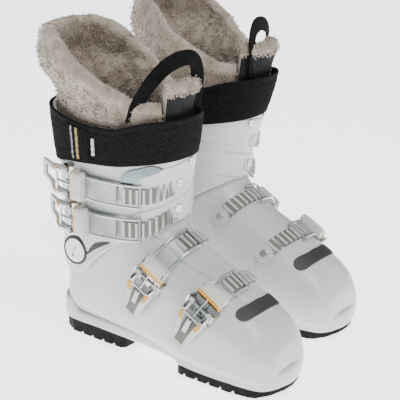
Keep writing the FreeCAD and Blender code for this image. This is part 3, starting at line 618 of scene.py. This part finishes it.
def cuff(side):
    skin = Skin(CUFF, 300)
    low_edge = line_of(CUFF_LOWER_EDGE)
    high_edge = line_of(CUFF_UPPER_EDGE)
    start = skin.crossing(lambda points: points[..., 2] - low_edge(points[..., 0]))
    end = skin.crossing(lambda points: points[..., 2] - high_edge(points[..., 0]))
    outer = skin.grid(150, start, end)
    facing = normals(outer)
    inner = outer - facing * CUFF_WALL
    outer = outer + facing * cuff_relief(outer)[..., None]
    rows = wall(outer, inner)
    faces = grid_faces(len(rows), skin.columns, True, True)
    shell = piece("cuff_moulding", side, "upper", rows.reshape(-1, 3), faces, ["shell"])
    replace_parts(shell, side + "_cuff")
    return shell


# ---------------------------------------------------------------- plush collar and tongue


def tufts(points, facing, length, width, count, lean):
    """Short tapering tufts of pile standing on a surface, each a closed three-sided spike."""
    flat = points.reshape(-1, 3)
    normal = facing.reshape(-1, 3)
    pick = rng.integers(0, len(flat), count)
    base = flat[pick] + rng.normal(0, 0.9, (count, 3))
    way = normal[pick] + rng.normal(0, 0.33, (count, 3)) + lean
    way /= np.linalg.norm(way, axis=1, keepdims=True)
    side_way = np.cross(way, rng.normal(0, 1, (count, 3)))
    side_way /= np.linalg.norm(side_way, axis=1, keepdims=True)
    third = np.cross(way, side_way)
    tall = length * rng.uniform(0.6, 1.2, (count, 1))
    base = base - normal[pick] * 1.2
    corners = []
    for turn in range(3):
        angle = 2 * math.pi * turn / 3
        corners.append(base + (side_way * math.cos(angle) + third * math.sin(angle)) * width)
    middle = [corner + way * tall * 0.55 + np.array([0, 0, -0.3]) for corner in corners]
    tip = base + way * tall + np.array([0, 0, -0.16]) * tall
    verts = np.stack(corners + middle + [tip], 1).reshape(-1, 3)
    faces = []
    for tuft in range(count):
        first = tuft * 7
        faces.append((first + 2, first + 1, first))
        for turn in range(3):
            beside = (turn + 1) % 3
            faces.append((first + turn, first + beside, first + 3 + beside, first + 3 + turn))
            faces.append((first + 3 + turn, first + 3 + beside, first + 6))
    return verts, faces


def lumps(points, size):
    """Soft irregular swelling of a padded surface."""
    ahead, out, up = points[..., 0], points[..., 1], points[..., 2]
    return size * (np.sin(ahead * 0.11 + up * 0.07) * np.cos(out * 0.13 - up * 0.05)
                   + 0.5 * np.sin(ahead * 0.23 - out * 0.19 + up * 0.17))


PAD_THICK = 15.0
PAD_COLUMNS = 224
PAD_ROWS = 70
COLLAR_SPAN = (-92, 97)
TONGUE_SPAN = (99, 130)


def padded_wall(edge, span, low):
    """Rows of a padded wall over a span of the skin inside the cuff, from a low height up to an edge."""
    skin = Skin([shrunk(item, CUFF_WALL + 1.0) for item in CUFF] + COLLAR_FLARE, PAD_COLUMNS)
    first, last = span
    columns = np.arange(first, last + 1) % skin.columns
    start = skin.crossing(lambda points: points[..., 2] - low)
    end = skin.crossing(lambda points: points[..., 2] - edge(points[..., 0]))
    outer = skin.grid(PAD_ROWS, start, end)
    facing = normals(outer)
    inner = outer - facing * PAD_THICK
    swell = lumps(outer, 0.5)[..., None]
    outer = outer + facing * swell
    inner = inner - facing * lumps(inner, 0.9)[..., None]
    ring = wall(outer[:, columns], inner[:, columns], 9, 0.5)
    return ring


def capped(rows):
    """Faces of a wall with open columns, closed by a face at each end."""
    count, columns = rows.shape[:2]
    faces = grid_faces(count, columns, True, False)
    faces.append(tuple(row * columns for row in range(count)))
    faces.append(tuple(row * columns + columns - 1 for row in reversed(range(count))))
    return faces


def liner_collar(side):
    edge = line_of([(ahead, up - 5.5) for ahead, up in COLLAR_UPPER_EDGE])
    rows = padded_wall(edge, COLLAR_SPAN, 191.0)
    collar = piece("plush_collar", side, "upper", rows.reshape(-1, 3), capped(rows),
                   ["plush"])
    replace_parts(collar, side + "_liner_collar")
    facing = ring_normals(rows)
    shown = rows[..., 2] > 205
    verts, faces = tufts(rows[shown], facing[shown], 3.0, 0.55, 19000, np.array([0.0, 0.0, -0.25]))
    pile = piece("collar_pile", side, "upper", verts, faces, ["pile"])
    return collar


def ring_normals(rows):
    """Outward normals of a closed ring of rows."""
    along = np.roll(rows, -1, 0) - np.roll(rows, 1, 0)
    around = np.gradient(rows, axis=1)
    normal = np.cross(around, along)
    normal /= np.maximum(np.linalg.norm(normal, axis=2, keepdims=True), 1e-9)
    middle = rows.mean(0)[None]
    if np.sum(normal * (rows - middle)) < 0:
        normal = -normal
    return normal


def liner_tongue(side):
    edge = line_of([(40, 292), (120, 290), (160, 285), (200, 281)])
    rows = padded_wall(edge, TONGUE_SPAN, 193.0)
    faces = capped(rows)
    outside = (PAD_ROWS - 1) * (rows.shape[1] - 1)
    front = [1 if index < outside else 0 for index in range(len(faces))]
    tongue = piece("plush_tongue", side, "upper", rows.reshape(-1, 3), faces,
                   ["plush", "liner"], front)
    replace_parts(tongue, side + "_liner_tongue")
    facing = ring_normals(rows)
    shown = rows[..., 2] > 225
    shown[:PAD_ROWS - 2] = False
    verts, faces = tufts(rows[shown], facing[shown], 3.2, 0.6, 4500, np.array([0.0, 0.0, -0.2]))
    pile = piece("tongue_pile", side, "upper", verts, faces, ["pile"])
    return tongue


# ---------------------------------------------------------------- power strap

STRAP_THICK = 3.6


def strap_relief(points, share):
    """Rows of embossed diamonds between two plain hems, and a stitched groove beside each hem."""
    turn = np.radians(around_cuff(points)) * 66.0
    up = points[..., 2]
    first = np.abs(np.sin((turn + up) * math.pi / 5.6))
    second = np.abs(np.sin((turn - up) * math.pi / 5.6))
    field = smooth(share, 0.13, 0.16) * (1 - smooth(share, 0.84, 0.87))
    hem = np.exp(-((share - 0.115) / 0.012) ** 2) + np.exp(-((share - 0.885) / 0.012) ** 2)
    return field * (0.9 * np.minimum(first, second) ** 0.7 - 0.35) - 0.55 * hem


def power_strap(side):
    skin = Skin([shrunk(item, -0.3 - STRAP_THICK) for item in CUFF], 448)
    low_edge = line_of(STRAP_LOWER_EDGE)
    high_edge = line_of(STRAP_UPPER_EDGE)
    start = skin.crossing(lambda points: points[..., 2] - low_edge(points[..., 0]) - 1.5)
    end = skin.crossing(lambda points: points[..., 2] - high_edge(points[..., 0]) + 1.5)
    outer = skin.grid(64, start, end)
    facing = normals(outer)
    inner = outer - facing * (STRAP_THICK - 0.4)
    share = np.linspace(0, 1, 64)[:, None]
    outer = outer + facing * (strap_relief(outer, share) - 0.5)[..., None]
    rows = wall(outer, inner)
    faces = grid_faces(len(rows), skin.columns, True, True)
    strap = piece("strap_band", side, "upper", rows.reshape(-1, 3), faces, ["strap"])
    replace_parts(strap, side + "_power_strap")
    details = strap_details(side, outer, facing)


# ---------------------------------------------------------------- patches, bars and ribbons


def patch(name, side, body, grid, facing, thick, material, sunk=0.3):
    """A closed slab that follows part of a surface."""
    rows = wall(grid + facing * thick, grid - facing * sunk, 3, 0.3)
    faces = capped(rows)
    return piece(name, side, body, rows.reshape(-1, 3), faces, [material])


def eased_path(points, steps):
    """A smooth path through points of any width of table."""
    points = np.array(points, float)
    padded = np.vstack([2 * points[0] - points[1], points, 2 * points[-1] - points[-2]])
    path = []
    for index in range(1, len(padded) - 2):
        path += [between(*padded[index - 1:index + 3], share)
                 for share in np.linspace(0, 1, steps, endpoint=False)]
    return np.array(path + [points[-1]])


def bar(table, rim=1.0, square=3.4, sides=24, steps=6, facing=None):
    """A bar with rounded ends. Each row of the table holds a centre, a width and a height. Its width
    runs along the second axis, or square to the facing direction."""
    table = eased_path(table, steps)
    run = np.concatenate([[0], np.cumsum(np.linalg.norm(np.diff(table[:, :3], axis=0), axis=1))])
    turns = np.radians([0, 25, 50, 70])
    low = rim * (1 - np.cos(turns))
    middle = np.linspace(rim, run[-1] - rim, len(table))
    wanted = np.concatenate([low, middle, run[-1] - low[::-1]])
    shrink = rim * (1 - np.sin(turns))
    shrink = np.concatenate([shrink, np.zeros(len(table)), shrink[::-1]])
    values = np.stack([np.interp(wanted, run, table[:, column]) for column in range(5)], 1)
    ahead = np.gradient(values[:, :3], axis=0)
    ahead /= np.linalg.norm(ahead, axis=1, keepdims=True)
    if facing is None:
        wide_way = np.array([0.0, 1.0, 0.0]) - ahead * ahead[:, 1:2]
    else:
        wide_way = np.cross(ahead, np.array(facing))
    wide_way /= np.linalg.norm(wide_way, axis=1, keepdims=True)
    tall_way = np.cross(ahead, wide_way)
    angle = np.linspace(0, 2 * math.pi, sides, endpoint=False)
    wide = (values[:, 3] / 2 - shrink)[:, None] * power(np.cos(angle), 2 / square)[None]
    tall = (values[:, 4] / 2 - np.minimum(shrink, values[:, 4] / 2 - 0.05))[:, None] \
        * power(np.sin(angle), 2 / square)[None]
    rows = values[:, None, :3] + wide[..., None] * wide_way[:, None] + tall[..., None] * tall_way[:, None]
    faces = grid_faces(len(rows), sides, False, True)
    last = (len(rows) - 1) * sides
    faces.append(tuple(range(sides)))
    faces.append(tuple(range(last, last + sides)))
    return rows.reshape(-1, 3), faces


# ---------------------------------------------------------------- buckles

JOINTS = {joint["name"]: joint for joint in frame["joints"]}


class Seat:
    """A lever's own directions: forward towards the rack, across along its hinge, and outward."""

    def __init__(self, side, number):
        joint = JOINTS["%s_lever_%d_turn" % (side, number)]
        self.origin = np.array(joint["pos_m"])
        self.across = np.array(joint["axis"])
        self.across /= np.linalg.norm(self.across)
        lever = world_points(cad_node(side, "lever_%d" % number)) - self.origin
        flat = lever - np.outer(lever @ self.across, self.across)
        reach = np.linalg.norm(flat, axis=1)
        tip = flat[reach > reach.max() * 0.985].mean(0)
        self.forward = -tip / np.linalg.norm(tip)
        self.outward = np.cross(self.forward, self.across)
        if (lever @ self.outward).mean() < 0:
            self.outward = -self.outward
        self.long = reach.max() / MM

    def place(self, points):
        points = np.asarray(points, float) * MM
        return self.origin + np.outer(points[:, 0], self.forward) + np.outer(points[:, 1], self.across) \
            + np.outer(points[:, 2], self.outward)

    def local(self, placed):
        """Frame points in the lever's own directions, in millimetres."""
        return (placed - self.origin) @ np.stack([self.forward, self.across, self.outward], 1) / MM


def world_points(node):
    count = len(node.data.vertices)
    points = np.empty(count * 3)
    node.data.vertices.foreach_get("co", points)
    points = np.column_stack([points.reshape(-1, 3), np.ones(count)])
    return (points @ np.array(node.matrix_world).T)[:, :3]


PLASTIC = "buckle_plastic"
ARM = [(3.4, 12.0, 0.6, 5.0, 6.0), (-2.0, 12.2, 3.2, 5.6, 7.6), (-9.0, 12.0, 5.0, 6.2, 8.0),
       (-16.0, 11.0, 5.2, 6.4, 6.8), (-25.0, 9.2, 4.2, 6.0, 5.0), (-36.0, 8.0, 2.8, 5.4, 3.8)]
ARM_TRIM = [("cap", "bright_metal", "chrome", 1.5, -7.5, 4.4), ("pad", PLASTIC, "amber", -8.5, -19.0, 4.6)]
BARREL = [(-12.8, 0, 7.4, 4.8, 4.8), (-20.0, 0, 6.2, 5.2, 4.6), (-29.0, 0, 4.6, 5.6, 3.4)]


def lever(side, number):
    """A forked lever: two arms with bright caps and amber pads, joined by a bar at the tip. On the
    shell a low channel in dark grey painted shade and the stem's barrel lie between the arms."""
    seat = Seat(side, number)
    start = "lever_%d_" % number

    def fitted(name, slot, material, table, *shape):
        points, faces = bar(table, *shape)
        return solid(start + name, side, "lever_%d" % number, seat.place(points), faces, [material])

    end = -seat.long
    for hand, word in ((1, "upper"), (-1, "lower")):
        arm = np.array(ARM + [(end + 3.0, 7.6, 2.2, 5.0, 3.4)])
        arm[:, 1] *= hand
        fitted(word + "_arm", PLASTIC, "buckle", arm, 1.4)
        inwards = arm[np.argsort(arm[:, 0])].T
        for label, slot, material, first, last, width in ARM_TRIM:
            rows = []
            for ahead in np.linspace(first, last, 5):
                centre, middle, wide, tall = (np.interp(ahead, inwards[0], value) for value in inwards[1:])
                rows.append((ahead, centre, middle + tall / 2 - 0.35, width, 1.9))
            fitted("%s_%s" % (word, label), slot, material, rows, 0.7, 2.4, 16, 3)
    tip = [(end + 8.5, 0, 2.6, 18.0, 3.4), (end + 4.0, 0, 2.2, 20.5, 3.8), (end, 0, 1.8, 19.0, 3.2)]
    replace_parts(fitted("tip", PLASTIC, "buckle", tip, 1.5, 4.0), "%s_lever_%d" % (side, number))
    if number < 3:
        # Painted shade: a low dark grey channel between the arms.
        shade_channel = [(-15.5, 0, 2.4, 15.0, 1.8), (-28.0, 0, 2.6, 12.0, 1.8), (end + 7.0, 0, 2.2, 11.0, 1.6)]
        fitted("shade_channel", PLASTIC, "groove", shade_channel, 0.6)
        fitted("barrel", PLASTIC, "buckle", BARREL, 1.2, 2.6)
    return seat


YOKE_EDGE = 13.2
YOKE_ROWS = [(-0.08, 30.5, 1.0), (0.12, 30.5, 1.16), (0.5, 28.4, 1.2), (0.85, 30.0, 1.16), (1.10, 29.0, 0.98)]


def yoke(side, number, seat):
    """The moulded block round the yoke between the stem and the two wires, amber where it meets the stem."""
    node = cad_node(side, "bail_%d" % number)
    points = seat.local(world_points(node))
    block = points[(np.abs(points[:, 1]) > YOKE_EDGE) & (points[:, 0] > 4)][:, [0, 2]]
    ahead, up = block.T
    ways = (-ahead - 0.6 * up, up, ahead, -up)
    low_back, top_back, top_front, low_front = (block[way.argmax()] for way in ways)
    back = (low_back + top_back) / 2
    run = (low_front + top_front) / 2 - back
    tall = np.linalg.norm(top_back - low_back)
    rows = []
    for share, wide, high in YOKE_ROWS:
        ahead, up = back + run * share
        rows.append((ahead, 0.0, up, wide, tall * high + 0.8))
    points, faces = bar(rows, 1.3, 5.0, 32, 5)
    centres = np.array([points[list(face)].mean(0) for face in faces])
    share = ((centres[:, [0, 2]] - back) @ run) / (run @ run)
    paint = np.where(share < 0.14, 0, np.where(share < 0.34, 1, 2))
    solid("yoke_%d" % number, side, "bail_%d" % number, seat.place(points), faces,
          ["amber", "cream", "buckle"], paint)


WEB_HALF = 9.8
WEB_START = 24


def paint_bail(side, number, seat):
    """Satin grey on the web between the wires."""
    node = cad_node(side, "bail_%d" % number)
    node.data.materials.append(MATERIALS["web"])
    matrix = np.array(node.matrix_world)
    for face in node.data.polygons:
        centre = matrix @ np.array([*face.center, 1])
        ahead, across, _ = seat.local(centre[None, :3])[0]
        if abs(across) < WEB_HALF and ahead > WEB_START:
            face.material_index = 1


# Height band above the shell's surface, in millimetres, of the sunk faces that get the painted shade.
RECESS = (2.1, 4.5)
RIVET_CLEAR = 6.0


def paint_rack_shade(side, label, skin_node, rivet_node):
    """Painted shade: dark grey on the sunk faces between a rack's teeth, clear of its rivet."""
    node = cad_node(side, label)
    rivets = world_points(cad_node(side, rivet_node))
    node.data.materials.append(MATERIALS["groove"])
    cover = cad_node(side, skin_node)
    tree = BVHTree.FromPolygons([cover.matrix_world @ vertex.co for vertex in cover.data.vertices],
                                [list(face.vertices) for face in cover.data.polygons])
    turn = node.matrix_world.to_3x3()
    for face in node.data.polygons:
        centre = node.matrix_world @ face.center
        near, facing, _, away = tree.find_nearest(centre)
        outward = (centre - near).normalized()
        sunk = RECESS[0] < away / MM < RECESS[1] and (turn @ face.normal).normalized().dot(outward) > 0.8
        if sunk and np.linalg.norm(rivets - np.array(centre), axis=1).min() > RIVET_CLEAR * MM:
            face.material_index = 1


# ---------------------------------------------------------------- strap details, loop and pivots


def strap_details(side, grid, facing):
    """A stitched tab with two stripes and a blank label, on the outer side."""
    middle = grid[32]
    outer = np.where(middle[:, 1] > 0)[0]
    details = []
    for name, slot, first, last, low, high, thick, material in (
            ("strap_tab", "strap_webbing", 55, 86, 5, 59, 1.0, "strap"),
            ("strap_grey_stripe", "strap_webbing", 61.5, 64.5, 6, 58, 1.5, "tab"),
            ("strap_gold_stripe", "strap_webbing", 67.5, 71.5, 6, 58, 1.5, "gold_tab"),
            ("strap_label", "strap_webbing", 88, 92.5, 16, 46, 1.4, "label")):
        inside = outer[(middle[outer, 0] > first) & (middle[outer, 0] < last)]
        columns = np.arange(inside.min(), inside.max() + 1)
        rows = slice(low, high)
        details.append(patch(name, side, "upper", grid[rows][:, columns], facing[rows][:, columns],
                             thick, material))
    return details


LOOP_PATH = [(128, 50, 254), (135, 50, 272), (146, 45, 292), (153, 33, 306), (158, 17, 313), (162, 2, 313),
             (163, -5, 304), (163, -6, 288), (161, -4, 262)]
LOOP_WIDE = 15.0
LOOP_THICK = 2.2
LOOP_FACING = (0.95, 0.22, 0.22)


def pull_loop(side):
    """A loop of black webbing from the collar's outer front over to the tongue's middle."""
    path = eased_path(LOOP_PATH, 8)
    table = np.column_stack([path, np.full(len(path), LOOP_WIDE), np.full(len(path), LOOP_THICK)])
    points, faces = bar(table, 0.6, 5.0, 24, 1, LOOP_FACING)
    loop = piece("webbing_loop", side, "upper", points, faces, ["webbing"])
    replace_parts(loop, side + "_pull_loop")


RING_RADIUS = 13.9


def pivot_rings(side):
    """A black ring round each cuff pivot's bright disc."""
    low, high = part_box(side + "_cuff_pivots")
    centre = (low + high) / 2
    turn = np.linspace(0, 2 * math.pi, 64, endpoint=False)
    section = np.linspace(0, 2 * math.pi, 12, endpoint=False)
    radius = RING_RADIUS + 1.5 * np.cos(section)
    faces_out = {"outer": low.x, "inner": high.x} if side == "right" else {"outer": high.x, "inner": low.x}
    for word, face in faces_out.items():
        away = -1 if face < centre.x else 1
        across = face - away * 1.4 * MM + away * 1.6 * np.sin(section) * MM
        rows = np.stack([np.broadcast_to(across, (64, 12)), centre.y + np.outer(np.cos(turn), radius) * MM,
                         centre.z + np.outer(np.sin(turn), radius) * MM], 2)
        solid("pivot_ring_" + word, side, "upper", rows.reshape(-1, 3),
              grid_faces(64, 12, True, True), ["insert"])


def softened(side, label, name, material, body, voxel):
    """A soft piece in the space of its plain CAD solid: remeshed and eased."""
    node = cad_node(side, label)
    copy = bpy.data.objects.new("soft_copy", node.data.copy())
    bpy.context.scene.collection.objects.link(copy)
    copy.matrix_world = node.matrix_world.copy()
    remesh = copy.modifiers.new("remesh", "REMESH")
    remesh.mode = "VOXEL"
    remesh.voxel_size = voxel * MM
    ease = copy.modifiers.new("ease", "SMOOTH")
    ease.factor = 0.5
    ease.iterations = 4
    bpy.context.view_layer.update()
    done = copy.evaluated_get(bpy.context.evaluated_depsgraph_get())
    points = np.array([copy.matrix_world @ vertex.co for vertex in done.data.vertices])
    faces = [tuple(face.vertices) for face in done.data.polygons]
    bpy.data.objects.remove(copy)
    soft = solid(name, side, body, points, faces, [material])
    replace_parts(soft, "%s_%s" % (side, label))


# ---------------------------------------------------------------- stage, light and camera


def studio():
    bpy.ops.mesh.primitive_plane_add(size=8)
    floor = bpy.context.object
    floor.name = "floor"
    paint = Paint("pale_floor", Roughness=0.6, Emission_Color=(1, 1, 1, 1), Emission_Strength=2.4)
    paint.color(paint.noise(3.0), (0.93, 0.93, 0.93), (0.95, 0.95, 0.95))
    floor.data.materials.append(paint.material)
    world = bpy.data.worlds.new("studio")
    bpy.context.scene.world = world
    world.use_nodes = True
    nodes = world.node_tree.nodes
    links = world.node_tree.links
    direction = nodes.new("ShaderNodeSeparateXYZ")
    links.new(nodes.new("ShaderNodeTexCoord").outputs["Generated"], direction.inputs[0])
    height = nodes.new("ShaderNodeMapRange")
    height.inputs["From Min"].default_value = -1.0
    links.new(direction.outputs["Z"], height.inputs["Value"])
    sky = nodes.new("ShaderNodeValToRGB")
    sky.color_ramp.elements[0].position = 0.45
    sky.color_ramp.elements[0].color = (0.45, 0.47, 0.48, 1)
    sky.color_ramp.elements[1].position = 0.95
    sky.color_ramp.elements[1].color = (1.0, 1.0, 1.0, 1)
    for position, tone in ((0.51, 0.05), (0.62, 0.12), (0.76, 0.7)):
        band = sky.color_ramp.elements.new(position)
        band.color = (tone * 0.96, tone * 0.99, tone, 1)
    links.new(height.outputs["Result"], sky.inputs["Fac"])
    links.new(sky.outputs["Color"], nodes["Background"].inputs["Color"])
    nodes["Background"].inputs["Strength"].default_value = 0.62
    for name, place, size, energy in (("key", (-0.5, -1.2, 2.1), 1.0, 30), ("fill", (1.5, -1.0, 1.2), 1.6, 2),
                                      ("top", (0.0, 0.6, 2.2), 1.5, 18)):
        light = bpy.data.lights.new(name, "AREA")
        light.energy = energy
        light.size = size
        lamp = bpy.data.objects.new(name, light)
        lamp.location = place
        lamp.rotation_euler = (Vector((0, 0, 0.15)) - Vector(place)).to_track_quat("-Z", "Y").to_euler()
        bpy.context.scene.collection.objects.link(lamp)


def camera():
    """The camera stands in front and to the right boot's outer side, a little above."""
    azimuth = math.radians(-52.2)
    elevation = math.radians(19.5)
    back = Vector((math.sin(azimuth) * math.cos(elevation), -math.cos(azimuth) * math.cos(elevation),
                   math.sin(elevation)))
    right = Vector((math.cos(azimuth), math.sin(azimuth), 0))
    over = right.cross(back) * -1
    target = spot(120, -HALF_SPACING / MM, 150)
    data = bpy.data.cameras.new("camera")
    data.lens = 126
    data.clip_start = 0.05
    view = bpy.data.objects.new("camera", data)
    view.location = target + back * 1.452
    aim = target - Vector((0, 0, 1)) * 0.0096 - right * 0.003
    view.rotation_euler = (aim - view.location).to_track_quat("-Z", "Y").to_euler()
    bpy.context.scene.collection.objects.link(view)
    bpy.context.scene.camera = view


studio()
camera()
for side in SIDES:
    lower_shell(side)
    welt(side)
    cuff(side)
    liner_collar(side)
    liner_tongue(side)
    power_strap(side)
    pull_loop(side)
    pivot_rings(side)
    softened(side, "liner_foot", "foot_padding", "liner", "boot", 2.0)
    softened(side, "footbed", "shaped_footbed", "bed", "boot", 1.5)
    paint_rack_shade(side, "shell_ladders", "lower_shell", "shell_rivets")
    paint_rack_shade(side, "cuff_ladders", "cuff", "cuff_rivets")
    for number in (1, 2, 3, 4):
        seat = lever(side, number)
        yoke(side, number, seat)
        paint_bail(side, number, seat)
